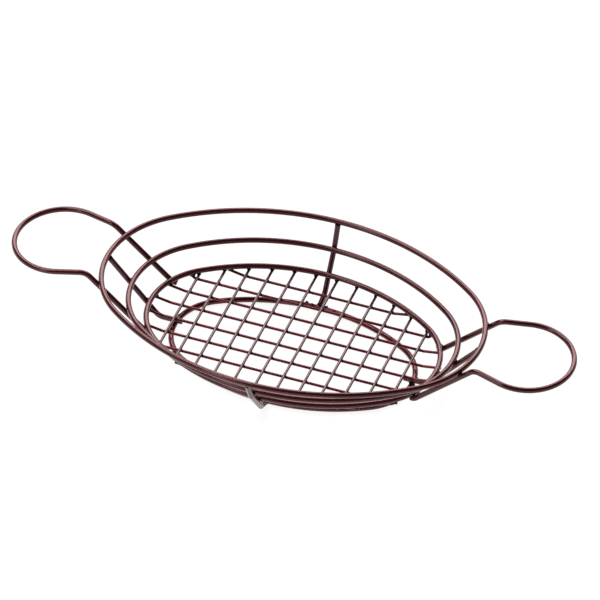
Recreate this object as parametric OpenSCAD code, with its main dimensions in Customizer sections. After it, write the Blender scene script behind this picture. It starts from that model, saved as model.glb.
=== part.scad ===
// Oval serving basket of welded round wire: four oval rings on four struts, two loop
// handles and a raised grid floor. The origin is on the table under the middle of the
// foot ring, X runs from handle to handle, Y from front to back and Z up.

/* [Wire] */
// Diameter of the wire in the four rings
ring_wire_d = 4; // [3:0.25:5]
// Diameter of the wire in the four struts
strut_wire_d = 4; // [3:0.25:5]
// Diameter of the wire in the two handles
handle_wire_d = 4; // [3:0.25:5]
// Diameter of the thinner wire in the grid floor
grid_wire_d = 2; // [1.5:0.25:2.5]
// Gap left where two wires are welded, so that each stays a solid of its own
weld_gap = 0.06; // [0.05:0.01:0.1]

/* [Rings] */
// Outside length of the rim
rim_l = 280.5; // [260:0.5:310]
// Outside width of the rim
rim_w = 184.5; // [175:0.5:200]
// Height of the basket, from the table to the top of the rim
rim_h = 52.6; // [46:0.2:60]
// Height of the top of the middle ring
middle_h = 36.2; // [33:0.2:40]
// Outside length of the base ring, which carries the grid
base_l = 216.5; // [205:0.5:225]
// Outside width of the base ring
base_w = 139.5; // [135:0.5:146]
// Height of the top of the base ring
base_h = 21.4; // [17:0.2:24]
// Outside length of the foot ring
foot_l = 181; // [170:1:188]
// Outside width of the foot ring
foot_w = 107; // [100:1:113]
// Radius of a ring's ends as a share of half its width
end_share = 0.73; // [0.68:0.01:0.78]

/* [Struts] */
// How far the foot of an end strut runs in past the middle of the foot ring
foot_reach = 6; // [4:0.5:10]
// How far a side strut bows outwards at the middle ring
side_bow = 2.2; // [1.5:0.1:3]
// Bend radius of a strut
strut_bend_r = 8; // [6:0.5:10]
// Least distance between the foot ring and the bend of a side strut
knee_room = 2; // [1:0.5:4]

/* [Handles] */
// Clear space between the hook of a leg and the long wire beside it
hook_clear = 2; // [0.4:0.1:3]
// Height of the loop where the legs turn outwards, to the middle of its wire
loop_h = 55.6; // [54.6:0.2:64]
// Distance from the middle of the basket to the middle of the loop's round end
loop_x = 172.4; // [168:0.2:182]
// Radius of the loop's round end, to the middle of its wire
loop_r = 33.5; // [30:0.5:36]
// Droop of the loop towards its round end, in degrees
loop_droop = 3; // [0:0.5:6]
// Bend radius where a leg turns outwards into the loop
leg_bend_r = 10; // [7:0.5:12]
// Bend radius of the hook under the base ring
hook_bend_r = 4; // [3.5:0.25:4.5]
// How far the hook runs in past the middle of the base ring
hook_reach = 2; // [1:0.5:4]

/* [Grid] */
// Number of cross wires, from front to back
cross_count = 12; // [8:2:12]
// From the end of the base ring in to the outermost cross wire
cross_inset = 21; // [16:0.25:24]
// Number of long wires, from end to end
long_count = 8; // [6:2:8]
// From the side of the base ring in to the outermost long wire
long_inset = 16; // [15:0.1:19]
// How far a grid wire runs out past the middle of the base ring
grid_overhang = 1; // [0.5:0.25:1.5]
// Length over which the end of a long wire climbs to the base ring
climb_run = 2.8; // [2.6:0.1:3.4]
// Bend radius at the foot and the head of that climb
climb_bend_r = 2; // [1.5:0.25:2.5]

/* [Hidden] */
wire_fn = 24;
arc_fn = 160;
$fn = wire_fn;
paint = [0.24, 0.07, 0.08];
half_turn = 180;
// Two lengths of one wire end just short of each other, inside a ball that stands out a little
joint_swell = weld_gap * 2 / 3;
joint_pull = 0.1;

// A ring is [half length, half width, end radius, side radius, height] of its wire's middle
function side_radius(a, b, r) = ((a - r) ^ 2 + b ^ 2 - r ^ 2) / (2 * (b - r));
function ring(a, b, z) = [a, b, end_share * b, side_radius(a, b, end_share * b), z];
function outer_ring(l, w, h) = ring((l - ring_wire_d) / 2, (w - ring_wire_d) / 2, h - ring_wire_d / 2);
function side_drop(q) = q[3] - q[1];
function join_angle(q) = atan2(side_drop(q), q[0] - q[2]);

// Half length of a ring at the distance y from its long axis, and half width at x
function ring_x(q, y) = abs(y) < q[2] * sin(join_angle(q))
    ? q[0] - q[2] + sqrt(q[2] ^ 2 - y ^ 2)
    : sqrt(q[3] ^ 2 - (abs(y) + side_drop(q)) ^ 2);
function ring_y(q, x) = abs(x) < q[3] * cos(join_angle(q))
    ? sqrt(q[3] ^ 2 - x ^ 2) - side_drop(q)
    : sqrt(q[2] ^ 2 - (abs(x) - q[0] + q[2]) ^ 2);

rim = outer_ring(rim_l, rim_w, rim_h);
base = outer_ring(base_l, base_w, base_h);
foot = outer_ring(foot_l, foot_w, ring_wire_d);

// A strut lies outside the base ring and ends under the middle of the rim's wire.
// Its lean from upright follows from the reach out to the rim and the rise.
strut_seat = (ring_wire_d + strut_wire_d) / 2 + weld_gap;
function lean(out, up) = acos(strut_seat / norm([out, up])) - atan2(up, out);
end_lean = lean(rim[0] - base[0], rim[4] - base[4]);
side_lean = lean(rim[1] - base[1], rim[4] - base[4]);

// The middle ring lies inside the four struts, at its own height. The end struts are straight
// there, and a side strut bends, so that it leans less above the ring and more below it.
middle_z = middle_h - ring_wire_d / 2;
middle = ring(
    base[0] + (middle_z - base[4]) * tan(end_lean),
    base[1] + (middle_z - base[4]) * tan(side_lean) + side_bow,
    middle_z);
upper_lean = lean(rim[1] - middle[1], rim[4] - middle[4]);
lower_lean = atan2(middle[1] - base[1], middle[4] - base[4]);

// The grid wires are spread evenly over the base ring
cross_pitch = 2 * (base[0] - cross_inset) / (cross_count - 1);
long_pitch = 2 * (base[1] - long_inset) / (long_count - 1);

// A leg of a handle lies outside the rim and the base ring, which it crosses askew
leg_y = place(2, 0, long_pitch) + (grid_wire_d + handle_wire_d) / 2 + hook_clear;
handle_seat = (ring_wire_d + handle_wire_d) / 2 + weld_gap;
rim_leg_x = ring_x(rim, leg_y);
base_leg_x = ring_x(base, leg_y);
leg_lean = atan2(rim_leg_x - base_leg_x, rim[4] - base[4]);
function askew_seat(q) = let (turn = asin(leg_y / q[2]))
    handle_seat * norm([cos(leg_lean), sin(leg_lean) * cos(turn)]) / cos(turn);
rim_touch = [rim_leg_x + askew_seat(rim) * cos(leg_lean), rim[4] - askew_seat(rim) * sin(leg_lean)];
base_touch = [base_leg_x + askew_seat(base) * cos(leg_lean), base[4] - askew_seat(base) * sin(leg_lean)];
function leg_x(z) = base_touch[0]
    + (rim_touch[0] - base_touch[0]) * (z - base_touch[1]) / (rim_touch[1] - base_touch[1]);
hook_z = base[4] - handle_seat;

// The loop lies in a plane through the two upper corners of the legs, with u outwards.
// Its sides spread by the angle at which they run into the round end.
loop_u = (loop_x - leg_x(loop_h)) / cos(loop_droop);
spread = asin(loop_r / norm([loop_u, leg_y])) - atan2(leg_y, loop_u);
function in_loop(u, v) = [u * cos(loop_droop), v, -u * sin(loop_droop)];
function loop_side(way) = in_loop(cos(spread), way * sin(spread));
function loop_end(way) = [leg_x(loop_h), 0, loop_h]
    + in_loop(loop_u - loop_r * sin(spread), way * loop_r * cos(spread));

// The cross wires lie under the base ring and the long wires under the cross wires
cross_z = base[4] - (ring_wire_d + grid_wire_d) / 2 - weld_gap;
long_z = cross_z - grid_wire_d - weld_gap;
function place(i, count, pitch) = (i - (count + 1) / 2) * pitch;
// A long wire that climbs ends beyond the ball at the head of its climb
climb_cut = climb_bend_r * tan(atan2(cross_z - long_z, climb_run) / 2);
climb_end = max(grid_overhang, climb_cut + grid_wire_d / 2 + joint_swell + joint_pull);
// The outermost cross wire that reaches over a long wire at the distance y
wire_beside = grid_wire_d / 2 + weld_gap;
function reaches(x, y) = ring_y(base, x) + grid_overhang + wire_beside > abs(y)
    && x < ring_x(base, y) + climb_end + wire_beside;
function last_cross(y) = max([for (i = [1:cross_count])
    let (x = place(i, cross_count, cross_pitch)) reaches(x, y) ? x : 0]);

function unit(v) = v / norm(v);

// Turns what it is given from Z to the direction u and moves it to the point p
module aim(p, u) {
    translate(p) rotate([0, acos(u.z), atan2(u.y, u.x)]) children();
}

module straight(p, q, d) {
    aim(p, unit(q - p)) cylinder(d = d, h = norm(q - p));
}

// An arc of wire that leaves the point p along u and turns towards n, between two joints
module bend(p, u, n, r, turn, d) {
    c = p + n * r;
    side = cross(-n, u);
    short = atan2(joint_pull, r);
    multmatrix([
        [-n.x, u.x, side.x, c.x],
        [-n.y, u.y, side.y, c.y],
        [-n.z, u.z, side.z, c.z]])
        rotate_extrude(start = short, angle = turn - 2 * short, $fn = arc_fn)
            translate([r, 0]) circle(d = d, $fn = wire_fn);
}

// The ball is turned by half a facet, so that its edges fall between those of the wire
module joint(p, u, d) {
    aim(p, u) rotate(half_turn / wire_fn) sphere(d = d + 2 * joint_swell);
}

// One wire along the points p, bent at each inner point with the radius in r
module bent_wire(p, r, d) {
    last = len(p) - 1;
    u = [for (i = [1:last]) unit(p[i] - p[i - 1])];
    turn = [for (i = [1:last - 1]) acos(u[i - 1] * u[i])];
    cut = concat(0, [for (i = [1:last - 1]) r[i - 1] * tan(turn[i - 1] / 2)], 0);
    pull = concat(0, [for (i = [1:last - 1]) joint_pull], 0);
    for (i = [1:last])
        straight(
            p[i - 1] + u[i - 1] * (cut[i - 1] + pull[i - 1]),
            p[i] - u[i - 1] * (cut[i] + pull[i]), d);
    for (i = [1:last - 1]) {
        from = p[i] - u[i - 1] * cut[i];
        bend(from, u[i - 1], unit(u[i] - u[i - 1] * (u[i - 1] * u[i])), r[i - 1], turn[i - 1], d);
        joint(from, u[i - 1], d);
        joint(p[i] + u[i] * cut[i], u[i], d);
    }
}

// A four-centre oval: two end arcs and two side arcs, tangent where they meet
module oval_ring(q) {
    turn = join_angle(q);
    x = q[0] - q[2] + q[2] * cos(turn);
    y = q[2] * sin(turn);
    for (way = [-1, 1]) {
        start = [way * x, -way * y, q[4]];
        stop = [way * x, way * y, q[4]];
        start_u = way * [sin(turn), cos(turn), 0];
        stop_u = way * [-sin(turn), cos(turn), 0];
        bend(start, start_u, way * [-cos(turn), sin(turn), 0], q[2], 2 * turn, ring_wire_d);
        bend(stop, stop_u, way * [-cos(turn), -sin(turn), 0], q[3], half_turn - 2 * turn, ring_wire_d);
        joint(start, start_u, ring_wire_d);
        joint(stop, stop_u, ring_wire_d);
    }
}

module rim_ring() color(paint) oval_ring(rim);
module middle_ring() color(paint) oval_ring(middle);
module base_ring() color(paint) oval_ring(base);
module foot_ring() color(paint) oval_ring(foot);

// The height at which a strut turns inwards is the seat on top of the foot ring
knee_z = foot[4] + strut_seat;
butt = ring_wire_d / 2 + weld_gap;
// A ring of the radius r bows towards the inside over the width of a strut
function bow(r) = r - sqrt(r ^ 2 - (strut_wire_d / 2) ^ 2);
function strut_top(out, angle, r) =
    let (short = butt + bow(r) * sin(angle)) [out - short * sin(angle), 0, rim[4] - short * cos(angle)];
function lower(p, angle, z) = [p.x - (p.z - z) * tan(angle), 0, z];

// An end strut lies on the foot ring, and a side strut butts against it from outside
module end_strut() color(paint) {
    bent_wire(
        [
            strut_top(rim[0], end_lean, rim[2]),
            lower([rim[0], 0, rim[4]], end_lean, knee_z),
            [foot[0] - foot_reach, 0, knee_z]],
        [strut_bend_r], strut_wire_d);
}
module side_strut() color(paint) {
    half_bend = (lower_lean - upper_lean) / 2;
    bow_lean = upper_lean + half_bend;
    bow_top = [middle[1], 0, middle[4]]
        + [cos(bow_lean), 0, -sin(bow_lean)] * strut_seat / cos(half_bend);
    knee_out = foot[1] + strut_seat + knee_room;
    knee = lower(bow_top, lower_lean, max(knee_z, bow_top.z - (bow_top.x - knee_out) / tan(lower_lean)));
    middle_of_foot = [foot[1], 0, foot[4]];
    bent_wire(
        [
            strut_top(rim[1], upper_lean, rim[3]),
            bow_top,
            knee,
            middle_of_foot + unit(knee - middle_of_foot) * butt],
        [strut_bend_r, strut_bend_r], strut_wire_d);
}
module left_strut() rotate([0, 0, half_turn]) end_strut();
module right_strut() end_strut();
module front_strut() rotate([0, 0, -90]) side_strut();
module back_strut() rotate([0, 0, 90]) side_strut();

// One wire: on each side a hook, a leg and a side of the loop, and the round end between them
module handle() color(paint) {
    for (way = [-1, 1]) {
        bent_wire(
            [
                [base_leg_x - hook_reach, way * leg_y, hook_z],
                [leg_x(hook_z), way * leg_y, hook_z],
                [leg_x(loop_h), way * leg_y, loop_h],
                loop_end(way) - loop_side(way) * joint_pull],
            [hook_bend_r, leg_bend_r], handle_wire_d);
        joint(loop_end(way), loop_side(way), handle_wire_d);
    }
    bend(loop_end(1), loop_side(1), in_loop(sin(spread), -cos(spread)),
        loop_r, half_turn + 2 * spread, handle_wire_d);
}
module left_handle() rotate([0, 0, half_turn]) handle();
module right_handle() handle();

module cross_wire(i) color(paint) {
    x = place(i, cross_count, cross_pitch);
    reach = ring_y(base, x) + grid_overhang;
    straight([x, -reach, cross_z], [x, reach, cross_z], grid_wire_d);
}

// The ends of a long wire climb past the last cross wire to the base ring
module long_wire(i) color(paint) {
    y = place(i, long_count, long_pitch);
    seat_x = ring_x(base, y);
    climbs = seat_x - last_cross(y) > climb_run + climb_cut;
    half = climbs
        ? [[seat_x + climb_end, y, cross_z], [seat_x, y, cross_z], [seat_x - climb_run, y, long_z]]
        : [[seat_x + grid_overhang, y, long_z]];
    last = len(half) - 1;
    bent_wire(
        concat(half, [for (j = [last:-1:0]) [-half[j].x, half[j].y, half[j].z]]),
        [for (j = [1:2 * last]) climb_bend_r], grid_wire_d);
}

rim_ring();
middle_ring();
base_ring();
foot_ring();
left_strut();
right_strut();
front_strut();
back_strut();
left_handle();
right_handle();
for (i = [1:cross_count]) cross_wire(i);
for (i = [1:long_count]) long_wire(i);
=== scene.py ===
"""Oval serving basket of welded, lacquered wire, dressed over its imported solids.

Each wire is one tube swept along the route of its solid. The routes follow from the
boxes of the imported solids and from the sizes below, in metres, in the frame's axes:
X from handle to handle, Y from front to back, Z up from the table.
"""

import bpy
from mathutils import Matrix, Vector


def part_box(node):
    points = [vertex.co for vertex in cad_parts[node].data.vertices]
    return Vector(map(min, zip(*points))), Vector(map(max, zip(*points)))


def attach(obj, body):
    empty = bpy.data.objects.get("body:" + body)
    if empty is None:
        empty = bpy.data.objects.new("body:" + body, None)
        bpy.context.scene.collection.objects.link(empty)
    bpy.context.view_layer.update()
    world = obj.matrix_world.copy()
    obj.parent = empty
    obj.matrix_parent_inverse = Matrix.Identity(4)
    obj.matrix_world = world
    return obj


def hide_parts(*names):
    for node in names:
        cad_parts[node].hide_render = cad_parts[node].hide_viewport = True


bl_info = {
    "name": "Welded wire serving basket",
    "version": (1, 0, 0),
    "blender": (4, 5, 0),
    "location": "View3D > Sidebar > Basket",
    "description": "Sweeps the lacquered wires of an oval basket, sets its welds and its stage",
    "category": "Object",
}

import bpy
import numpy as np
from bpy.props import FloatProperty, FloatVectorProperty, PointerProperty
from mathutils import Vector

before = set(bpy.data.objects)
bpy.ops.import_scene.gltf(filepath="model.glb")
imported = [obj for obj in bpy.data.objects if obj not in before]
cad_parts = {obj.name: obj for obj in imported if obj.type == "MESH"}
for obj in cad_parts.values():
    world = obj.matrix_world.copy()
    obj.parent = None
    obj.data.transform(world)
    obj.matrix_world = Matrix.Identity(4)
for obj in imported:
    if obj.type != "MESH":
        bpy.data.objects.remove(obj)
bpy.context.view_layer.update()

RINGS = ("rim_ring", "middle_ring", "base_ring", "foot_ring")
# Struts and handles, with the quarter turns that bring each from the right end to its place
STRUTS = {"right_strut": 0, "back_strut": 1, "left_strut": 2, "front_strut": 3}
HANDLES = {"right_handle": 0, "left_handle": 2}
CROSS_WIRES = sorted(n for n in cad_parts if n.startswith("cross_wire"))
LONG_WIRES = sorted(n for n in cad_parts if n.startswith("long_wire"))
ACROSS = np.array([0.0, 1.0, 0.0])
UP = np.array([0.0, 0.0, 1.0])

# Distance between two rows of points along a wire, and the fewest rows in a bend
STEP = 0.001
BEND_ROWS = 5
# Points round a thick and a thin wire, and rows of points in the rounding of a cut end
THICK_SIDES = 24
THIN_SIDES = 16
END_ROWS = 5
# How far a lacquered wire may lie from the box of its solid
BOX_ROOM = 0.0004
# How far two lengths of one solid are pulled apart where they meet
JOINT_PULL = 0.0001

# Rows and sides of a weld bead, and how far each of its waves swells it
BEAD_ROWS = 8
BEAD_SIDES = 14
BEAD_WAVE = 0.07
# Reach of a bead along X, Y and Z, in radii of the wire that it sits on
CROSSING_BEAD = (1.35, 1.35, 1)
SEAT_BEAD = (1.5, 1.5, 1)
STRUT_BEAD = (1.05, 1.05, 1.05)
LEG_BEAD = (0.95, 0.95, 0.95)
# Drops of spatter at a strut: how many, within how many rows of the ring's points to each
# side, at which angles from outwards to upwards, how large and of what proportions
DROPS = 7
DROP_ROWS = 9
DROP_ANGLES = (0.2, 1.7)
DROP_RADII = (0.0005, 0.0011)
DROP_SHAPE = (1.2, 1.2, 0.8)

# Repeats per metre and detail of the clouds, the specks and the orange peel in the lacquer
CLOUDS = (70.0, 3.0)
GRAIN = (1500.0, 2.0)
PEEL = (700.0, 1.0)
# Values of the clouds, the specks and a weld's mark between which each comes on
WORN_RANGE = (0.35, 0.7)
SPECK_RANGE = (0.62, 0.75)
SCORCH_AND_SHADE_RANGE = (0.15, 0.8)
# Strength of the specks, and strength and height of the orange peel
SPECK_SHARE = 0.06
PEEL_STRENGTH = 0.15
PEEL_HEIGHT = 0.00008
# Roughness that a weld's scorching adds, and share of the coat that it leaves
SCORCH_ROUGHNESS = 0.2
SCORCHED_COAT = 0.1
# How much lighter the dark lacquer is where it lies thinner
WORN_GAIN = 1.5

# Half the width of the floor, its depth under the foot ring, and the glow that makes its
# grey look white
FLOOR_HALF = 15
FLOOR_DEPTH = 0.00005
FLOOR_GLOW = 0.9
# Heights in the room, as sines over the horizon, where the white ends and the ceiling begins
WHITE_TO = 0.1
CEILING_FROM = 0.3
# Place, width and height of each lamp, and the point that they are turned to
LAMPS = {
    "back": ((-0.45, 1.65, 1.54), 2.8, 1.2),
    "left": ((-1.0, -0.1, 2.0), 1.0, 1.0),
    "front": ((-0.95, -1.65, 1.1), 0.4, 1.4),
}
LAMP_AIM = (0, 0, 0.03)
# The point near the rim's height that the camera's aim is measured from
CAMERA_AIM = (0, 0, 0.05)


def box(node):
    """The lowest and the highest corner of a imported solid, as two arrays."""
    low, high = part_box(node)
    return np.array(low), np.array(high)


def length(name, description, default):
    """A size in metres."""
    return FloatProperty(
        name=name, description=description, default=default, min=0, precision=5, unit="LENGTH"
    )


def share(name, description, default):
    """A number from 0 to 1."""
    return FloatProperty(
        name=name, description=description, default=default, min=0, max=1, subtype="FACTOR"
    )


def watts(name, description, default):
    """The power of a lamp."""
    return FloatProperty(
        name=name, description=description, default=default, min=0, unit="POWER"
    )


def colour(name, description, default):
    """A linear colour without alpha."""
    return FloatVectorProperty(
        name=name, description=description, default=default, min=0, max=1, subtype="COLOR"
    )


class BasketSizes(bpy.types.PropertyGroup):
    """The sizes of the wires and of their bends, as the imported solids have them.

    Only the bead inset, the two trims and the gentle climb are the lacquered wires' own.
    """

    ring_wire: length("Ring wire", "Diameter of the wire in the rings", 0.004)
    strut_wire: length("Strut wire", "Diameter of the wire in the struts", 0.004)
    handle_wire: length("Handle wire", "Diameter of the wire in the handles", 0.004)
    grid_wire: length("Grid wire", "Diameter of the thinner wire in the grid floor", 0.002)
    weld_gap: length("Weld gap", "Gap that the solids leave where two wires meet", 0.00006)
    end_share: share("End share", "Radius of a ring's ends as a share of half its width", 0.73)
    foot_reach: length("Foot reach", "From the foot ring in to the end of an end strut", 0.006)
    strut_bend: length("Strut bend", "Bend radius of a strut", 0.008)
    knee_room: length("Knee room", "From the foot ring out to the bend of a side strut", 0.002)
    hook_clear: length("Hook clearance", "From a hook to the long wire beside it", 0.002)
    loop_height: length("Loop height", "Height at which the legs turn outwards", 0.0556)
    loop_reach: length("Loop reach", "From the middle to the loop's round end", 0.1724)
    loop_radius: length("Loop radius", "Radius of the loop's round end", 0.0335)
    loop_droop: FloatProperty(
        name="Loop droop",
        description="How far the loop falls towards its round end",
        default=np.radians(3),
        subtype="ANGLE",
    )
    leg_bend: length("Leg bend", "Bend radius where a leg turns outwards", 0.01)
    hook_bend: length("Hook bend", "Bend radius of a hook under the base ring", 0.004)
    hook_reach: length("Hook reach", "From the base ring in to the end of a hook", 0.002)
    overhang: length("Grid overhang", "From the base ring out to the end of a grid wire", 0.001)
    bead_inset: length("Bead inset", "From the base ring's middle in to a grid weld", 0.001)
    end_trim: length("End trim", "From a cross wire's solid in to its lacquered end", 0.0015)
    hook_trim: length("Hook trim", "From a hook's solid in to its lacquered end", 0.001)
    climb_run: length("Climb run", "Length of the climb at the end of a long wire", 0.0028)
    gentle_run: length("Gentle climb", "Longest climb of the lacquered wire", 0.012)
    climb_bend: length("Climb bend", "Bend radius at both ends of that climb", 0.002)


class BasketFinish(bpy.types.PropertyGroup):
    """The lacquer on the wires, and the welds under it."""

    dark: colour("Dark lacquer", "Thick lacquer over the wire", (0.076, 0.007, 0.010))
    # The red lacquer is a lighter, redder copy of the dark lacquer: painted sheen for the light
    # that the long wires reflect
    red: colour("Red lacquer", "Thinner lacquer on the long wires", (0.150, 0.006, 0.014))
    # The foot lacquer is a lighter, redder copy of the dark lacquer: painted sheen for the light
    # that the foot ring reflects
    foot: colour("Foot lacquer", "Lacquer on the foot ring", (0.135, 0.007, 0.014))
    # The grey lacquer is a greyer copy of the dark lacquer: a painted highlight for the broad
    # sheen of the cross wires
    grey: colour("Grey lacquer", "Rubbed lacquer on the cross wires", (0.078, 0.013, 0.018))
    # The weld colour darkens the wires round each weld and colours the beads: partly scorching,
    # partly painted shade where the wires meet
    soot_and_shade: colour("Weld colour", "Scorched lacquer round a weld", (0.014, 0.005, 0.006))
    weld_reach: length("Weld reach", "How far a weld scorches the wire", 0.0022)
    end_rounding: length("End rounding", "Rounding of a strut's end, half the others'", 0.0004)


class BasketStage(bpy.types.PropertyGroup):
    """The camera and the light."""

    azimuth: FloatProperty(
        name="Azimuth",
        description="Turn of the camera round the basket",
        default=np.radians(20.66),
        subtype="ANGLE",
    )
    elevation: FloatProperty(
        name="Elevation",
        description="Height of the camera over the table",
        default=np.radians(41.92),
        subtype="ANGLE",
    )
    distance: length("Distance", "From the camera to the basket", 9.1)
    lens: FloatProperty(
        name="Lens", description="Focal length on a 36 mm sensor", default=785, min=1
    )
    aim_right: length("Aim right", "From the basket's axis to the aim, to the right", 0.0049)
    aim_up: length("Aim up", "From the rim's height to the aim, upwards", 0.002)
    back_power: watts("Back lamp", "Power of the wide lamp behind the basket", 52)
    left_power: watts("Left lamp", "Power of the lamp high on the left", 14)
    front_power: watts("Front lamp", "Power of the narrow lamp at the front left", 4.5)
    fill: share("Fill light", "Strength of the room's light on the basket", 0.36)
    ceiling: share("Ceiling", "Brightness of the room overhead", 0.07)


# Routes: each is (points, tangents), two arrays with one row per point


def unit(v):
    """Each vector divided by its length."""
    return v / np.linalg.norm(v, axis=-1, keepdims=True)


def straight(p, q):
    """p + (q - p) t for even steps of t from 0 to 1."""
    t = np.linspace(0, 1, int(np.linalg.norm(q - p) / STEP) + 2)[:, None]
    return p + (q - p) * t, np.repeat(unit(q - p)[None], len(t), 0)


def arc(p, u, n, radius, turn):
    """p + r (u sin a + n (1 - cos a)) for even steps of a: leaves p along u, turns towards n."""
    a = np.linspace(0, turn, max(BEND_ROWS, int(radius * turn / STEP) + 2))[:, None]
    return p + radius * (u * np.sin(a) + n * (1 - np.cos(a))), u * np.cos(a) + n * np.sin(a)


def joined(*routes):
    """Routes end to end. A later one starts where the last one ends, so it drops that point."""
    return tuple(
        np.concatenate([rows[k][min(i, 1):] for i, rows in enumerate(routes)]) for k in (0, 1)
    )


def backwards(route):
    """The same route walked from its other end."""
    return route[0][::-1], -route[1][::-1]


def bent(corners, radii):
    """Straight lengths between the corners, with each inner corner cut off by a tangent arc.

    An arc of radius r that turns the wire by w begins r tan(w / 2) before its corner.
    """
    corners = np.asarray(corners, float)
    along = unit(np.diff(corners, axis=0))
    turns = np.arccos((along[:-1] * along[1:]).sum(1))
    cuts = np.concatenate([[0], np.array(radii) * np.tan(turns / 2), [0]])
    routes = []
    for k, u in enumerate(along):
        routes.append(straight(corners[k] + u * cuts[k], corners[k + 1] - u * cuts[k + 1]))
        if k < len(turns):
            n = unit(along[k + 1] - u * (u @ along[k + 1]))
            routes.append(arc(corners[k + 1] - u * cuts[k + 1], u, n, radii[k], turns[k]))
    return joined(*routes)


class Oval:
    """A four-centre oval: end arcs of radius r and side arcs of radius R, tangent where they meet.

    With half length a and half width b, R = ((a - r)^2 + b^2 - r^2) / (2 (b - r)), and the
    arcs meet where the line through their centres, at the angle atan2(R - b, a - r), cuts them.
    """

    def __init__(self, a, b, z, end_share):
        self.a, self.b, self.z = a, b, z
        self.r = end_share * b
        self.side = ((a - self.r) ** 2 + b**2 - self.r**2) / (2 * (b - self.r))
        self.meet = np.arctan2(self.side - b, a - self.r)

    @classmethod
    def of(cls, node, sizes):
        """The oval of the wire's middle in a packed ring."""
        low, high = box(node)
        a, b = (high - low)[:2] / 2 - sizes.ring_wire / 2
        return cls(a, b, (low[2] + high[2]) / 2, sizes.end_share)

    def x(self, y):
        """Half length at the distance y from the long axis."""
        if abs(y) < self.r * np.sin(self.meet):
            return self.a - self.r + np.sqrt(self.r**2 - y**2)
        return np.sqrt(self.side**2 - (abs(y) + self.side - self.b) ** 2)

    def route(self):
        """c + r (cos a, sin a) along the four arcs, from the front right round by the back.

        The angle a runs on from arc to arc, and no point is repeated, as the route is closed.
        """
        end, drop = self.a - self.r, self.side - self.b
        quarters = (
            ([end, 0], self.r, -self.meet, self.meet),
            ([0, -drop], self.side, self.meet, np.pi - self.meet),
            ([-end, 0], self.r, np.pi - self.meet, np.pi + self.meet),
            ([0, drop], self.side, np.pi + self.meet, 2 * np.pi - self.meet),
        )
        points, tangents = [], []
        for centre, radius, start, stop in quarters:
            count = int(radius * (stop - start) / STEP)
            a = np.linspace(start, stop, count, endpoint=False)[:, None]
            points.append(np.array(centre) + radius * np.hstack([np.cos(a), np.sin(a)]))
            tangents.append(np.hstack([-np.sin(a), np.cos(a)]))
        points, tangents = np.concatenate(points), np.concatenate(tangents)
        flat = np.zeros((len(points), 1))
        return np.hstack([points, flat + self.z]), np.hstack([tangents, flat])


def quarter_turned(vectors, quarters):
    """Vectors turned about Z by so many right angles."""
    c, s = np.round([np.cos(quarters * np.pi / 2), np.sin(quarters * np.pi / 2)])
    return np.asarray(vectors, float) @ np.array([[c, s, 0], [-s, c, 0], [0, 0, 1]])


def down_of(lean):
    """The direction down a strut that leans so far from upright."""
    return np.array([-np.sin(lean), 0, -np.cos(lean)])


def out_of(lean):
    """The direction out of a strut that leans so far, square to it."""
    return np.array([np.cos(lean), 0, -np.sin(lean)])


def lean_past(step, seat):
    """The lean of a line through the upper ring's wire that passes the lower one at the seat.

    With step = (x, 0, z) from the lower wire to the upper one, the lean is
    acos(seat / |step|) - atan2(z, x).
    """
    return np.arccos(seat / np.hypot(step[0], step[2])) - np.arctan2(step[2], step[0])


class Strut:
    """A strut as its solid has it: down from under the rim, outside the rings, then inwards.

    Its lean from upright follows from its seats on the rings. An end strut is straight down
    to its knee and lies on the foot ring. A side strut bends at the middle ring, where the
    two seats' lines meet, and butts against the foot ring from outside.
    """

    def __init__(self, quarter, sizes):
        self.quarter, side = quarter, quarter % 2
        rings = [Oval.of(node, sizes) for node in RINGS]
        rim, middle, base, foot = (
            np.array([oval.b if side else oval.a, 0, oval.z]) for oval in rings
        )
        # From a ring's middle to the end of a strut that butts against it, or to the middle
        # of one that lies beside it
        wire = sizes.strut_wire / 2
        butt = sizes.ring_wire / 2 + sizes.weld_gap
        seat = butt + wire
        knee_z = foot[2] + seat
        upper = lower = lean_past(rim - base, seat)
        corner = rim
        if side:
            # The bend outside the middle ring halves the turn between its two leans
            upper = lean_past(rim - middle, seat)
            lower = np.arctan2(*(middle - base)[[0, 2]])
            half = (lower - upper) / 2
            corner = middle + out_of(upper + half) * seat / np.cos(half)
            room = foot[0] + seat + sizes.knee_room
            knee_z = max(knee_z, corner[2] - (corner[0] - room) / np.tan(lower))
        # The rim curves away by its bow over half the strut's width
        radius = rings[0].side if side else rings[0].r
        bow = radius - np.sqrt(radius**2 - wire**2)
        top = rim + down_of(upper) * (butt + bow * np.sin(upper))
        knee = corner + down_of(lower) * (corner[2] - knee_z) / np.cos(lower)
        if side:
            foot_touch = foot + unit(knee - foot) * butt
            self.corners = np.array([top, corner, knee, foot_touch])
        else:
            foot_touch = foot + UP * butt
            end = np.array([foot[0] - sizes.foot_reach, 0, knee_z])
            self.corners = np.array([top, knee, end])
        past = [ring + out_of(lower) * butt for ring in (middle, base)]
        self.touches = quarter_turned([top, *past, foot_touch], quarter)

    def route(self, sizes):
        """From under the rim down to the foot ring."""
        bends = [sizes.strut_bend] * (len(self.corners) - 2)
        return bent(quarter_turned(self.corners, self.quarter), bends)


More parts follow.
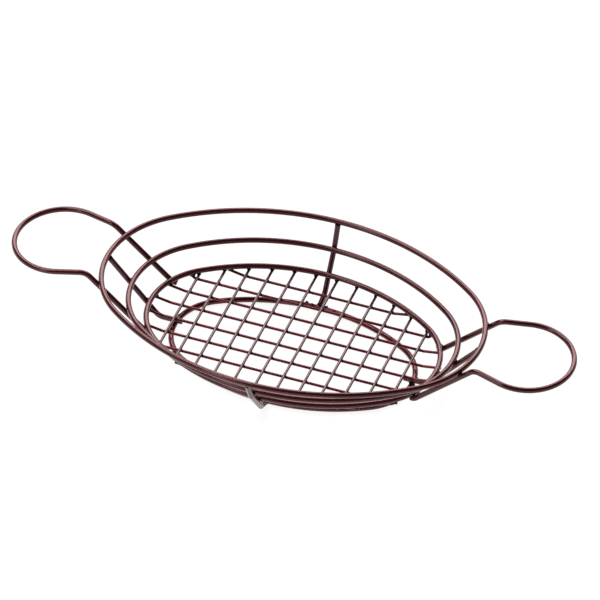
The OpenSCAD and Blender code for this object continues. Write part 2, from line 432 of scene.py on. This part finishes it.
class Handle:
    """A handle as its solid has it: two legs outside the rim and the base ring, and a loop.

    A leg's seats on the two rings give its line. It crosses a ring askew by the angle t, so
    a seat s stands s |(ox, oz cos t)| / cos t out along the direction o, square to the leg.
    The loop lies in a plane that droops outwards. Its sides spread until they run into the
    round end, by asin(r / |(reach, y)|) - atan2(y, reach).
    """

    def __init__(self, sizes):
        rim, base = Oval.of("rim_ring", sizes), Oval.of("base_ring", sizes)
        seat = (sizes.ring_wire + sizes.handle_wire) / 2 + sizes.weld_gap
        # The hooks lie outside the second pair of long wires, counted from the long axis
        beside = sorted(abs(box(n)[0][1] + box(n)[1][1]) / 2 for n in LONG_WIRES)[2]
        self.y = beside + (sizes.grid_wire + sizes.handle_wire) / 2 + sizes.hook_clear
        at = [np.array([oval.x(self.y), oval.z]) for oval in (rim, base)]
        lean = np.arctan2(*(at[0] - at[1]))
        outwards = np.array([np.cos(lean), -np.sin(lean)])
        turns = [np.arcsin(self.y / oval.r) for oval in (rim, base)]
        self.touch = [
            p + outwards * seat * np.hypot(outwards[0], outwards[1] * np.cos(t)) / np.cos(t)
            for p, t in zip(at, turns)
        ]
        self.on_rings = [p + outwards * sizes.ring_wire / 2 for p in at]
        self.hook_z = base.z - seat
        self.base_x = at[1][0]
        self.loop_z = sizes.loop_height
        reach = (sizes.loop_reach - self.leg_x(self.loop_z)) / np.cos(sizes.loop_droop)
        self.spread = np.arcsin(sizes.loop_radius / np.hypot(reach, self.y)) - np.arctan2(
            self.y, reach
        )
        self.reach, self.droop, self.radius = reach, sizes.loop_droop, sizes.loop_radius

    def leg_x(self, z):
        """Where a leg's middle is at the height z."""
        rim, base = self.touch
        return base[0] + (rim[0] - base[0]) * (z - base[1]) / (rim[1] - base[1])

    def in_loop(self, u, v):
        """A vector in the loop's plane, with u outwards."""
        return np.array([u * np.cos(self.droop), v, -u * np.sin(self.droop)])

    def side(self, way, sizes):
        """From the end of a hook up the leg and out along one side of the loop."""
        end = np.array([self.leg_x(self.loop_z), 0, self.loop_z]) + self.in_loop(
            self.reach - self.radius * np.sin(self.spread), way * self.radius * np.cos(self.spread)
        )
        y = way * self.y
        corners = [
            [self.base_x - sizes.hook_reach + sizes.hook_trim, y, self.hook_z],
            [self.leg_x(self.hook_z), y, self.hook_z],
            [self.leg_x(self.loop_z), y, self.loop_z],
            end,
        ]
        return bent(corners, [sizes.hook_bend, sizes.leg_bend])

    def route(self, quarter, sizes):
        """Up one side, round the loop's end and down the other side."""
        near, far = self.side(1, sizes), self.side(-1, sizes)
        round_end = arc(
            near[0][-1],
            self.in_loop(np.cos(self.spread), np.sin(self.spread)),
            self.in_loop(np.sin(self.spread), -np.cos(self.spread)),
            self.radius,
            np.pi + 2 * self.spread,
        )
        points, tangents = joined(near, round_end, backwards(far))
        return quarter_turned(points, quarter), quarter_turned(tangents, quarter)

    def touches(self, sizes):
        """The middles of the welds on rim, base ring and hook, for the four legs."""
        under = [self.base_x, self.hook_z + sizes.handle_wire / 2]
        x, z = np.array([*self.on_rings, under]).T
        both = [np.column_stack([x, np.full(len(x), way * self.y), z]) for way in (1, -1)]
        return np.concatenate([quarter_turned(np.concatenate(both), q) for q in HANDLES.values()])


def cross_route(node, sizes):
    """A cross wire runs straight from front to back through the middle of its box.

    Its ends stop short of the box, so that they hide under the base ring.
    """
    low, high = box(node)
    x, z = (low[0] + high[0]) / 2, (low[2] + high[2]) / 2
    y = high[1] - sizes.end_trim
    return straight(np.array([x, -y, z]), np.array([x, y, z]))


def climb_end(sizes):
    """From the base ring's middle out to the end of a long wire.

    The end lies past the head of the climb by a wire's radius, the swelling of the solid's
    joint there, which is two thirds of a weld gap, and the joint's pull.
    """
    step = sizes.grid_wire + sizes.weld_gap
    head = sizes.climb_bend * np.tan(np.arctan2(step, sizes.climb_run) / 2)
    return max(sizes.overhang, head + sizes.grid_wire / 2 + sizes.weld_gap * 2 / 3 + JOINT_PULL)


def long_route(node, sizes):
    """A long wire runs low under the cross wires and climbs to the base ring at both ends.

    The climb takes all the room after the last cross wire that it passes, up to a limit.
    """
    low, high = box(node)
    wire = sizes.grid_wire / 2
    y, top, bottom = (low[1] + high[1]) / 2, high[2] - wire, low[2] + wire
    seat = high[0] - climb_end(sizes)
    passed = [box(n)[1][0] for n in CROSS_WIRES if box(n)[1][1] > abs(y)]
    room = seat - max(x for x in passed if x < seat)
    run = max(sizes.climb_run, min(sizes.gentle_run, room - wire))
    half = [[high[0], y, top], [seat, y, top], [seat - run, y, bottom]]
    corners = np.array(half + [[-x, y, z] for x, y, z in half[::-1]])
    return bent(corners[::-1], [sizes.climb_bend] * (len(corners) - 2))


def grid_touches(sizes):
    """The middles of the welds between the grid wires, and of those under the base ring."""
    cross = np.array([box(n) for n in CROSS_WIRES])
    long = np.array([box(n) for n in LONG_WIRES])
    x, reach = cross[:, :, 0].mean(1), cross[:, 1, 1]
    y, half = long[:, :, 1].mean(1), long[:, 1, 0]
    # Halfway through the gaps under and over the cross wires
    z, seat_z = cross[0, :, 2] + np.array([-1, 1]) * sizes.weld_gap / 2
    i, j = np.nonzero((abs(y)[None] < reach[:, None]) & (abs(x)[:, None] < half[None]))
    crossings = np.column_stack([x[i], y[j], np.full(len(i), z)])
    seats = [
        np.column_stack(part)
        for way in (-1, 1)
        for part in (
            (x, way * (reach - sizes.overhang - sizes.bead_inset), np.full(len(x), seat_z)),
            (way * (half - climb_end(sizes) - sizes.bead_inset), y, np.full(len(y), seat_z)),
        )
    ]
    return crossings, np.concatenate(seats)


def strut_touches(sizes):
    """The middles of the welds on the four struts."""
    return np.concatenate([Strut(quarter, sizes).touches for quarter in STRUTS.values()])


def all_touches(sizes):
    """Every place where two wires are welded together."""
    legs = Handle(sizes).touches(sizes)
    return np.concatenate([*grid_touches(sizes), strut_touches(sizes), legs])


# Meshes


def make_piece(name, points, faces, material, nodes=()):
    """A mesh object in place, which rides with the basket and stands for the nodes."""
    mesh = bpy.data.meshes.new(name)
    mesh.from_pydata(points.tolist(), [], faces)
    mesh.shade_smooth()
    mesh.materials.append(material)
    piece = bpy.data.objects.new(name, mesh)
    bpy.context.scene.collection.objects.link(piece)
    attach(piece, "root")
    if nodes:
        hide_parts(*nodes)
    return piece


def near_share(points, centres, reach):
    """exp(-(d / reach)^2), with d the distance from each point to the nearest centre."""
    d = ((points[:, None] - centres[None]) ** 2).sum(2).min(1)
    return np.exp(-d / reach**2)


def row_faces(rows, sides, closed):
    """Quads between neighbouring rows of points, facing away from the tube's middle."""
    i, j = np.meshgrid(np.arange(rows if closed else rows - 1), np.arange(sides), indexing="ij")
    near, far, side = i * sides, (i + 1) % rows * sides, (j + 1) % sides
    quads = np.stack([near + j, near + side, far + side, far + j], -1)
    return quads.reshape(-1, 4).tolist()


def tube(route, across, radius, sides, rounding=0.0, closed=False):
    """p + r (N cos a + (t x N) sin a): a circle carried along the route, with N square to it.

    N is the direction across, less its share along the tangent t. A cut end is rounded: its
    last rows stand e (1 - cos b) from the end with the radius r - e + e sin b, and a fan of
    triangles closes it.
    """
    points, tangents = route
    radii = np.full(len(points), radius)
    if not closed:
        b = np.linspace(0, np.pi / 2, END_ROWS)
        inwards = (1 - np.cos(b))[:, None]
        first = points[0] + tangents[0] * rounding * inwards
        last = points[-1] - tangents[-1] * rounding * inwards
        slim = radius - rounding + rounding * np.sin(b)
        points = np.concatenate([first, points[1:-1], last[::-1]])
        radii = np.concatenate([slim, radii[1:-1], slim[::-1]])
        first, last = (np.repeat(rows, END_ROWS, 0) for rows in (tangents[:1], tangents[-1:]))
        tangents = np.concatenate([first, tangents[1:-1], last])
    n = unit(across - tangents * (tangents @ across)[:, None])
    a = np.linspace(0, 2 * np.pi, sides, endpoint=False)[None, :, None]
    round_about = n[:, None] * np.cos(a) + np.cross(tangents, n)[:, None] * np.sin(a)
    skin = points[:, None] + radii[:, None, None] * round_about
    faces = row_faces(len(points), sides, closed)
    skin = skin.reshape(-1, 3)
    if not closed:
        count, j = len(skin), np.arange(sides)
        after, final = (j + 1) % sides, count - sides
        faces += np.column_stack([np.full(sides, count), after, j]).tolist()
        faces += np.column_stack([np.full(sides, count + 1), final + j, final + after]).tolist()
        skin = np.concatenate([skin, points[[0, -1]]])
    return skin, faces


def mark_welds(piece, shares):
    """Gives each point its share of the weld's darkening, partly scorching and partly painted
    shade, which the lacquer reads.
    """
    mark = piece.data.attributes.new("weld", "FLOAT", "POINT")
    mark.data.foreach_set("value", shares.astype(np.float32))


def lay_wire(node, shape, material, welds, reach, short=0.0):
    """One wire in the place of its solid, whose box it has to fill but for a trim.

    The welds darken it as far as they reach, partly by scorching and partly as painted shade.
    """
    skin, faces = shape
    low, high = box(node)
    off = max(abs(skin.min(0) - low).max(), abs(skin.max(0) - high).max())
    if off > BOX_ROOM + short:
        raise RuntimeError(f"the wire for {node} misses the box of its solid by {off:.5f} m")
    piece = make_piece(f"{node}_wire", skin, faces, material, [node])
    mark_welds(piece, near_share(skin, welds, reach))


def make_beads(name, centres, radii, material, seed):
    """Weld beads: c + R f d, with d a direction on a grid of latitudes and longitudes.

    f = 1 + the sum of three waves h sin(3 d.w + p), with w and p drawn anew for each bead,
    so that no two are alike. The first and the last row are single points.
    """
    draw = np.random.default_rng(seed)
    count, sides = len(centres), BEAD_SIDES
    latitude = np.linspace(0, np.pi, BEAD_ROWS)[:, None]
    longitude = np.linspace(0, 2 * np.pi, sides, endpoint=False)[None]
    d = np.stack(
        np.broadcast_arrays(
            np.sin(latitude) * np.cos(longitude),
            np.sin(latitude) * np.sin(longitude),
            np.cos(latitude),
        ),
        -1,
    )
    w = unit(draw.normal(size=(count, 3, 3)))
    phase = draw.uniform(0, 2 * np.pi, (count, 3))
    waves = np.sin(3 * np.einsum("ijc,nkc->nijk", d, w) + phase[:, None, None])
    lump = 1 + BEAD_WAVE * waves.sum(-1, keepdims=True)
    radii = np.broadcast_to(radii, (count, 3))
    skin = centres[:, None, None] + radii[:, None, None] * lump * d
    inner = skin[:, 1:-1].reshape(count, -1, 3)
    points = np.concatenate([inner, skin[:, :1, 0], skin[:, -1:, 0]], 1)
    per = points.shape[1]
    points = points.reshape(-1, 3)
    j = np.arange(sides)
    after, final = (j + 1) % sides, (BEAD_ROWS - 3) * sides
    quads = np.array(row_faces(BEAD_ROWS - 2, sides, False))
    caps = np.concatenate(
        [
            np.column_stack([np.full(sides, per - 2), j, after]),
            np.column_stack([np.full(sides, per - 1), final + after, final + j]),
        ]
    )
    start = (np.arange(count) * per)[:, None, None]
    # From row to row a bead runs the other way than a tube, so its quads are turned round
    faces = (start + quads[:, ::-1]).reshape(-1, 4).tolist()
    faces += (start + caps).reshape(-1, 3).tolist()
    mark_welds(make_piece(name, points, faces, material), np.ones(len(points)))


# Materials


def feed(tree, socket, value):
    """Links an input to another node's output, or sets it to a plain value."""
    if isinstance(value, bpy.types.NodeSocket):
        tree.links.new(value, socket)
    else:
        socket.default_value = value


def add_node(tree, kind, **inputs):
    """A shader node with its inputs set, by name, to values or to other nodes' outputs."""
    made = tree.nodes.new(kind)
    for name, value in inputs.items():
        feed(tree, made.inputs[name.replace("_", " ")], value)
    return made


def worked_out(tree, operation, *values):
    """The result of an arithmetic operation on up to three values."""
    made = tree.nodes.new("ShaderNodeMath")
    made.operation = operation
    for socket, value in zip(made.inputs, values):
        feed(tree, socket, value)
    return made.outputs[0]


def mix_colours(tree, factor, a, b):
    """The colour a where the factor is 0, and b where it is 1."""
    made = tree.nodes.new("ShaderNodeMix")
    made.data_type = "RGBA"
    # The node's sockets for plain numbers, vectors and colours share their names
    for number, value in ((0, factor), (6, a), (7, b)):
        feed(tree, made.inputs[number], value)
    return made.outputs[2]


def spread(tree, value, low, high, to_low=0.0, to_high=1.0):
    """The value carried from the range low to high onto another range, and held there."""
    made = add_node(
        tree,
        "ShaderNodeMapRange",
        Value=value,
        From_Min=low,
        From_Max=high,
        To_Min=to_low,
        To_Max=to_high,
    )
    return made.outputs["Result"]


def lacquer_group():
    """Lacquer on drawn wire: clouds where it is thinner, fine specks, and welds darkened by
    scorching and by painted shade.

    Puts out a colour, a roughness, a coat and a normal, which change over the surface. Near a
    weld, where it is scorched, the lacquer turns rougher and its coat burns off.
    """
    found = bpy.data.node_groups.get("wire_lacquer")
    if found:
        return found
    group = bpy.data.node_groups.new("wire_lacquer", "ShaderNodeTree")
    for name, kind in (
        ("Lacquer", "NodeSocketColor"),
        ("Worn", "NodeSocketColor"),
        ("Soot", "NodeSocketColor"),
        ("Roughness", "NodeSocketFloat"),
        ("Coat", "NodeSocketFloat"),
    ):
        group.interface.new_socket(name, in_out="INPUT", socket_type=kind)
    for name, kind in (
        ("Colour", "NodeSocketColor"),
        ("Roughness", "NodeSocketFloat"),
        ("Coat", "NodeSocketFloat"),
        ("Normal", "NodeSocketVector"),
    ):
        group.interface.new_socket(name, in_out="OUTPUT", socket_type=kind)
    given = group.nodes.new("NodeGroupInput").outputs
    out = group.nodes.new("NodeGroupOutput").inputs
    place = group.nodes.new("ShaderNodeTexCoord").outputs["Object"]
    weld = group.nodes.new("ShaderNodeAttribute")
    weld.attribute_name = "weld"
    clouds, grain, peel = (
        add_node(
            group, "ShaderNodeTexNoise", Vector=place, Scale=scale, Detail=detail
        ).outputs["Fac"]
        for scale, detail in (CLOUDS, GRAIN, PEEL)
    )
    worn = spread(group, clouds, *WORN_RANGE)
    ground = mix_colours(group, worn, given["Lacquer"], given["Worn"])
    speck = spread(group, grain, *SPECK_RANGE, 0.0, SPECK_SHARE)
    ground = mix_colours(group, speck, ground, given["Soot"])
    # A weld's mark, which darkens the colour towards the weld colour: partly scorching, partly
    # painted shade where the wires meet
    scorch_and_shade = spread(group, weld.outputs["Fac"], *SCORCH_AND_SHADE_RANGE)
    rougher = worked_out(group, "MULTIPLY_ADD", scorch_and_shade, SCORCH_ROUGHNESS, given["Roughness"])
    coat_left = spread(group, scorch_and_shade, 0.0, 1.0, 1.0, SCORCHED_COAT)
    bump = add_node(
        group, "ShaderNodeBump", Strength=PEEL_STRENGTH, Distance=PEEL_HEIGHT, Height=peel
    )
    feed(group, out["Colour"], mix_colours(group, scorch_and_shade, ground, given["Soot"]))
    feed(group, out["Roughness"], rougher)
    feed(group, out["Coat"], worked_out(group, "MULTIPLY", coat_left, given["Coat"]))
    feed(group, out["Normal"], bump.outputs["Normal"])
    return group


def lacquer(name, base, worn, soot_and_shade, roughness=0.18, metallic=0.3, coat=0.6, gloss=0.3):
    """Coloured lacquer over steel wire, made once and then found by its name."""
    found = bpy.data.materials.get(name)
    if found:
        return found
    material = bpy.data.materials.new(name)
    material.use_nodes = True
    tree = material.node_tree
    shader = tree.nodes["Principled BSDF"]
    shader.inputs["Metallic"].default_value = metallic
    shader.inputs["Coat Roughness"].default_value = 0.1
    shader.inputs["Specular IOR Level"].default_value = gloss
    shader.inputs["Specular Tint"].default_value = (1, 0.6, 0.6, 1)
    group = tree.nodes.new("ShaderNodeGroup")
    group.node_tree = lacquer_group()
    group.inputs["Lacquer"].default_value = (*base, 1)
    group.inputs["Worn"].default_value = (*worn, 1)
    group.inputs["Soot"].default_value = (*soot_and_shade, 1)
    group.inputs["Roughness"].default_value = roughness
    group.inputs["Coat"].default_value = coat
    for source, target in (
        ("Colour", "Base Color"),
        ("Roughness", "Roughness"),
        ("Coat", "Coat Weight"),
        ("Normal", "Normal"),
    ):
        tree.links.new(group.outputs[source], shader.inputs[target])
    return material


def worn_dark(finish):
    """The dark lacquer where it lies thinner."""
    return [c * WORN_GAIN for c in finish.dark]


def dark_lacquer(finish):
    """Thick lacquer on the upper rings and the handles."""
    return lacquer("dark_lacquer", finish.dark, worn_dark(finish), finish.soot_and_shade)


def foot_lacquer(finish):
    """Redder lacquer on the foot ring: a lighter copy of the dark lacquer, painted sheen for the
    light it reflects.
    """
    return lacquer("foot_lacquer", finish.foot, finish.dark, finish.soot_and_shade, metallic=0.5, coat=0.5)


def strut_lacquer(finish):
    """Thick lacquer with the glossier coat of the struts."""
    return lacquer("strut_lacquer", finish.dark, worn_dark(finish), finish.soot_and_shade, coat=0.8)


def red_lacquer(finish):
    """The reddest lacquer, on the long wires: a lighter, redder copy of the dark lacquer, painted
    sheen for the light they reflect.
    """
    return lacquer("red_lacquer", finish.red, finish.dark, finish.soot_and_shade, metallic=0.5, coat=0.2)


def grey_lacquer(finish):
    """Greyer, glossier lacquer on the cross wires; its grey is a painted highlight."""
    return lacquer("grey_lacquer", finish.grey, finish.dark, finish.soot_and_shade, roughness=0.12, coat=0.8)


def weld_lacquer(finish):
    """Near-black, dull lacquer over the weld beads: scorching, and painted shade in the joints."""
    dull = {"roughness": 0.4, "metallic": 0.1, "coat": 0.3, "gloss": 0.15}
    return lacquer("weld_lacquer", finish.soot_and_shade, finish.dark, finish.soot_and_shade, **dull)


# Operators


def spatter(sizes, seed):
    """Drops of weld metal on the foot ring, strewn to both sides of each strut.

    A drop at the distance s along the ring, and at the angle f round its wire from outwards
    to upwards, has its middle at the ring's skin: p(s) + r (o cos f + z sin f).
    """
    draw = np.random.default_rng(seed)
    ring = Oval.of("foot_ring", sizes)
    points, tangents = ring.route()
    outwards, radius = np.cross(tangents, UP), sizes.ring_wire / 2
    places = []
    for strut in ([ring.a, 0], [0, ring.b], [-ring.a, 0], [0, -ring.b]):
        middle = np.argmin(((points[:, :2] - strut) ** 2).sum(1))
        rows = (middle + draw.integers(-DROP_ROWS, DROP_ROWS + 1, DROPS)) % len(points)
        f = draw.uniform(*DROP_ANGLES, DROPS)[:, None]
        places.append(points[rows] + radius * (outwards[rows] * np.cos(f) + UP * np.sin(f)))
    places = np.concatenate(places)
    return places, draw.uniform(*DROP_RADII, (len(places), 1)) * np.array(DROP_SHAPE)


class BASKET_OT_rings(bpy.types.Operator):
    """Sweeps the four oval rings"""

    bl_idname = "basket.rings"
    bl_label = "Rings"

    def execute(self, context):
        sizes, finish = context.scene.basket_sizes, context.scene.basket_finish
        welds = all_touches(sizes)
        for node in RINGS:
            route = Oval.of(node, sizes).route()
            shape = tube(route, UP, sizes.ring_wire / 2, THICK_SIDES, closed=True)
            # The foot ring gets a lighter, redder copy of the lacquer, a painted sheen
            coat = foot_lacquer if node == "foot_ring" else dark_lacquer
            lay_wire(node, shape, coat(finish), welds, finish.weld_reach)
        return {"FINISHED"}


class BASKET_OT_struts(bpy.types.Operator):
    """Sweeps the four struts that carry the rings"""

    bl_idname = "basket.struts"
    bl_label = "Struts"

    def execute(self, context):
        sizes, finish = context.scene.basket_sizes, context.scene.basket_finish
        welds = all_touches(sizes)
        for node, quarter in STRUTS.items():
            route = Strut(quarter, sizes).route(sizes)
            across = quarter_turned(ACROSS, quarter)
            shape = tube(route, across, sizes.strut_wire / 2, THICK_SIDES, finish.end_rounding)
            lay_wire(node, shape, strut_lacquer(finish), welds, finish.weld_reach)
        return {"FINISHED"}


class BASKET_OT_handles(bpy.types.Operator):
    """Sweeps the two loop handles, each with the hooks under the base ring"""

    bl_idname = "basket.handles"
    bl_label = "Handles"

    def execute(self, context):
        sizes, finish = context.scene.basket_sizes, context.scene.basket_finish
        welds, handle = all_touches(sizes), Handle(sizes)
        coat, reach = dark_lacquer(finish), finish.weld_reach
        for node, quarter in HANDLES.items():
            route = handle.route(quarter, sizes)
            shape = tube(route, UP, sizes.handle_wire / 2, THICK_SIDES, 2 * finish.end_rounding)
            lay_wire(node, shape, coat, welds, reach, sizes.hook_trim)
        return {"FINISHED"}


class BASKET_OT_grid(bpy.types.Operator):
    """Sweeps the cross wires and the long wires of the grid floor"""

    bl_idname = "basket.grid"
    bl_label = "Grid floor"

    def execute(self, context):
        sizes, finish = context.scene.basket_sizes, context.scene.basket_finish
        welds, reach = all_touches(sizes), finish.weld_reach
        wire, rounding = sizes.grid_wire / 2, 2 * finish.end_rounding
        # The cross wires get the greyer copy of the lacquer, a painted highlight
        coat = grey_lacquer(finish)
        for node in CROSS_WIRES:
            shape = tube(cross_route(node, sizes), UP, wire, THIN_SIDES, rounding)
            lay_wire(node, shape, coat, welds, reach, sizes.end_trim)
        # The long wires get the lighter, redder copy of the lacquer, a painted sheen
        coat = red_lacquer(finish)
        for node in LONG_WIRES:
            shape = tube(long_route(node, sizes), ACROSS, wire, THIN_SIDES, rounding)
            lay_wire(node, shape, coat, welds, reach)
        return {"FINISHED"}


class BASKET_OT_welds(bpy.types.Operator):
    """Sets a weld bead wherever two wires meet, and the spatter by the struts"""

    bl_idname = "basket.welds"
    bl_label = "Welds"

    def execute(self, context):
        sizes, finish = context.scene.basket_sizes, context.scene.basket_finish
        material = weld_lacquer(finish)
        crossings, seats = grid_touches(sizes)
        struts, legs = strut_touches(sizes), Handle(sizes).touches(sizes)
        drops, drop_radii = spatter(sizes, seed=5)
        thin, thick = sizes.grid_wire / 2, sizes.ring_wire / 2
        for name, centres, radii, slot, seed in (
            ("grid_welds", crossings, thin * np.array(CROSSING_BEAD), "cross_wire", 1),
            ("seat_welds", seats, thin * np.array(SEAT_BEAD), "cross_wire", 2),
            ("strut_welds", struts, thick * np.array(STRUT_BEAD), "strut_wire", 3),
            ("weld_spatter", drops, drop_radii, "ring_wire", 6),
            ("leg_welds", legs, thick * np.array(LEG_BEAD), "handle_wire", 4),
        ):
            make_beads(name, centres, radii, material, seed)
        return {"FINISHED"}


class BASKET_OT_stage(bpy.types.Operator):
    """Sets the floor, the light and the camera"""

    bl_idname = "basket.stage"
    bl_label = "Stage"

    def execute(self, context):
        stage = context.scene.basket_stage
        self.lay_floor()
        self.light(context.scene, stage)
        self.aim_camera(context.scene, stage)
        context.scene.view_settings.view_transform = "Standard"
        return {"FINISHED"}

    def lay_floor(self):
        """A wide grey sheet with a glow, which the camera and the reflections see as white."""
        mesh = bpy.data.meshes.new("floor")
        corners = [
            (x * FLOOR_HALF, y * FLOOR_HALF, -FLOOR_DEPTH)
            for x, y in ((-1, -1), (1, -1), (1, 1), (-1, 1))
        ]
        mesh.from_pydata(corners, [], [(0, 1, 2, 3)])
        floor = bpy.data.objects.new("floor", mesh)
        bpy.context.scene.collection.objects.link(floor)
        material = bpy.data.materials.new("white_sheet")
        material.use_nodes = True
        tree = material.node_tree
        shader = tree.nodes["Principled BSDF"]
        shader.inputs["Base Color"].default_value = (0.2, 0.2, 0.2, 1)
        shader.inputs["Roughness"].default_value = 0.9
        shader.inputs["Emission Color"].default_value = (1, 1, 1, 1)
        glow = self.seen_directly(tree, 0.0, FLOOR_GLOW)
        feed(tree, shader.inputs["Emission Strength"], glow)
        mesh.materials.append(material)

    def seen_directly(self, tree, otherwise, strength):
        """The strength for rays from the camera, from gloss and through glass, or the other."""
        path = tree.nodes.new("ShaderNodeLightPath").outputs
        either = path["Is Camera Ray"]
        for name in ("Is Glossy Ray", "Is Transmission Ray"):
            either = worked_out(tree, "MAXIMUM", either, path[name])
        return spread(tree, either, 0.0, 1.0, otherwise, strength)

    def light(self, scene, stage):
        """A white room with a dim ceiling, weaker as light than as a background, and the lamps.

        Its white ends 6 degrees over the horizon, and the ceiling's grey begins at 17.
        """
        world = bpy.data.worlds.new("white_room")
        world.use_nodes = True
        tree = world.node_tree
        background = tree.nodes["Background"]
        towards = tree.nodes.new("ShaderNodeTexCoord").outputs["Generated"]
        height = add_node(tree, "ShaderNodeSeparateXYZ", Vector=towards).outputs["Z"]
        grey = spread(tree, height, WHITE_TO, CEILING_FROM, 1.0, stage.ceiling)
        feed(tree, background.inputs["Color"], grey)
        feed(tree, background.inputs["Strength"], self.seen_directly(tree, stage.fill, 1.0))
        scene.world = world
        for name, (place, wide, high) in LAMPS.items():
            data = bpy.data.lights.new(f"{name}_lamp", "AREA")
            data.shape, data.size, data.size_y = "RECTANGLE", wide, high
            data.energy = getattr(stage, f"{name}_power")
            lamp = bpy.data.objects.new(f"{name}_lamp", data)
            lamp.location = place
            aim = Vector(LAMP_AIM) - lamp.location
            lamp.rotation_euler = aim.to_track_quat("-Z", "Y").to_euler()
            scene.collection.objects.link(lamp)

    def aim_camera(self, scene, stage):
        """A long lens far off, at the photograph's angle.

        From the aim back to the camera points (sin a cos e, -cos a cos e, sin e).
        """
        a, e = stage.azimuth, stage.elevation
        back = Vector((np.sin(a) * np.cos(e), -np.cos(a) * np.cos(e), np.sin(e)))
        turn = (-back).to_track_quat("-Z", "Y")
        aim = Vector(CAMERA_AIM) + turn @ Vector((stage.aim_right, stage.aim_up, 0))
        data = bpy.data.cameras.new("camera")
        data.sensor_width, data.lens = 36, stage.lens
        data.clip_end = 100
        camera = bpy.data.objects.new("camera", data)
        camera.location = aim + back * stage.distance
        camera.rotation_euler = turn.to_euler()
        scene.collection.objects.link(camera)
        scene.camera = camera


STEPS = (
    BASKET_OT_rings,
    BASKET_OT_struts,
    BASKET_OT_handles,
    BASKET_OT_grid,
    BASKET_OT_welds,
    BASKET_OT_stage,
)


class BASKET_PT_panel(bpy.types.Panel):
    """Lists the steps and the settings of the basket."""

    bl_label = "Wire basket"
    bl_idname = "BASKET_PT_panel"
    bl_space_type = "VIEW_3D"
    bl_region_type = "UI"
    bl_category = "Basket"

    def draw(self, context):
        for step in STEPS:
            self.layout.operator(step.bl_idname)
        for group in ("basket_sizes", "basket_finish", "basket_stage"):
            settings = getattr(context.scene, group)
            column = self.layout.box().column()
            for name in settings.__annotations__:
                column.prop(settings, name)


CLASSES = (BasketSizes, BasketFinish, BasketStage, *STEPS, BASKET_PT_panel)


def register():
    for cls in CLASSES:
        bpy.utils.register_class(cls)
    bpy.types.Scene.basket_sizes = PointerProperty(type=BasketSizes)
    bpy.types.Scene.basket_finish = PointerProperty(type=BasketFinish)
    bpy.types.Scene.basket_stage = PointerProperty(type=BasketStage)


def unregister():
    del bpy.types.Scene.basket_stage
    del bpy.types.Scene.basket_finish
    del bpy.types.Scene.basket_sizes
    for cls in reversed(CLASSES):
        bpy.utils.unregister_class(cls)


def main():
    """Makes the whole basket."""
    register()
    bpy.ops.basket.rings()
    bpy.ops.basket.struts()
    bpy.ops.basket.handles()
    bpy.ops.basket.grid()
    bpy.ops.basket.welds()
    bpy.ops.basket.stage()


if __name__ == "__main__":
    main()
